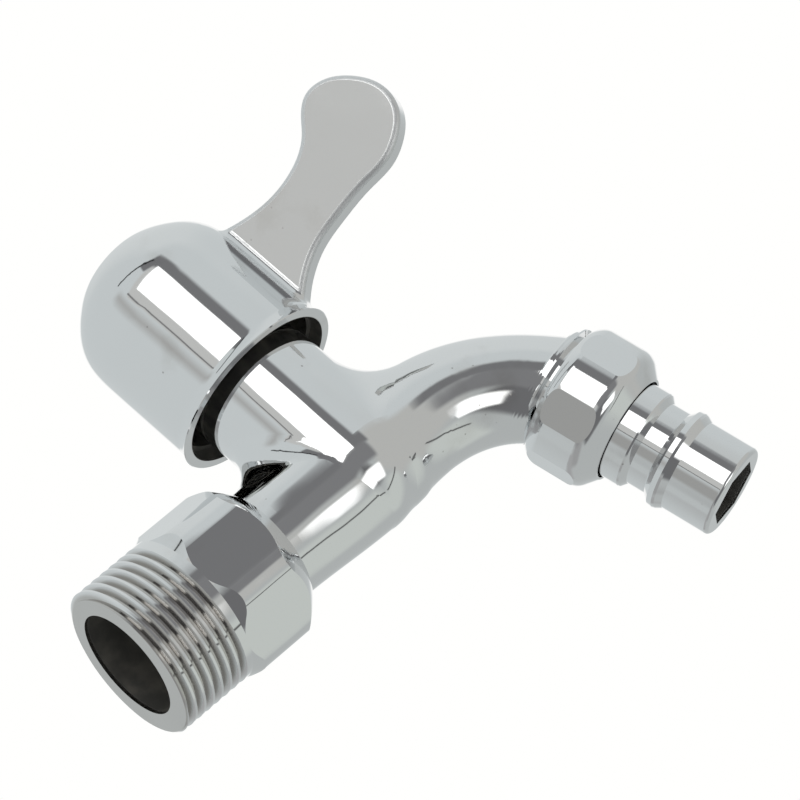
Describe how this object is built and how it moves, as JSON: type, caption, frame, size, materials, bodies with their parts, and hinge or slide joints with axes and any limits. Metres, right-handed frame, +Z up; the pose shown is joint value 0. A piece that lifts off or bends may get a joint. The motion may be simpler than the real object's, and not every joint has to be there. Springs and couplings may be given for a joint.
{
  "type": "wall tap",
  "caption": "Chromed wall tap with a threaded hexagonal inlet, bell-shaped lever handle, swan-neck spout and a hose nozzle held by a union nut.",
  "frame": {"origin": "centre of the inlet pipe's end face", "axes": "+X along the inlet pipe away from the wall, +Z up along the valve axis to the handle"},
  "size_m": [0.0974, 0.0421, 0.0973],
  "materials": {
    "body_chrome": "bright chrome plate on cast brass",
    "handle_chrome": "bright chrome plate on cast zinc",
    "nut_chrome": "bright chrome plate on turned brass",
    "nozzle_chrome": "bright chrome plate on turned brass",
    "cap_chrome": "bright chrome plate",
    "bare_brass": "turned brass",
    "steel": "zinc plated steel",
    "black_rubber": "moulded rubber",
    "white_plastic": "moulded plastic",
    "ceramic": "ground alumina ceramic"
  },
  "bodies": {
    "tap": {"body": "body_chrome", "cartridge_housing": "bare_brass", "housing_o_ring": "black_rubber", "fixed_disc": "ceramic", "disc_seal": "black_rubber", "seal_support_ring": "white_plastic"},
    "lever": {"handle": "handle_chrome", "index_cap": "cap_chrome", "spline_insert": "white_plastic", "handle_screw": "steel", "spring_washer": "steel", "spindle": "bare_brass", "spindle_o_rings": "black_rubber", "friction_ring": "white_plastic", "clip_washer": "bare_brass", "spindle_clip": "bare_brass", "moving_disc": "ceramic"},
    "hose_end": {"nozzle": "nozzle_chrome", "outlet_washer": "black_rubber"},
    "union": {"outlet_nut": "nut_chrome"}
  },
  "joints": [
    {"name": "handle_turn", "type": "hinge", "parent": "tap", "child": "lever", "pos_m": [0.04894, 0, 0.03], "axis": [0, 0, 1], "range_deg": [-60, 30]},
    {"name": "nozzle_slide", "type": "slide", "parent": "tap", "child": "hose_end", "axis": [0.1805, 0, -0.9836], "range_m": [0, 0.00544]},
    {"name": "nut_turn", "type": "hinge", "parent": "hose_end", "child": "union", "pos_m": [0.08509, 0, -0.01851], "axis": [0.1805, 0, -0.9836], "range_deg": [0, 1080]}
  ],
  "couplings": [
    {"joint": "nut_turn", "follows": "nozzle_slide", "rad_per_m": 3463.7}
  ]
}
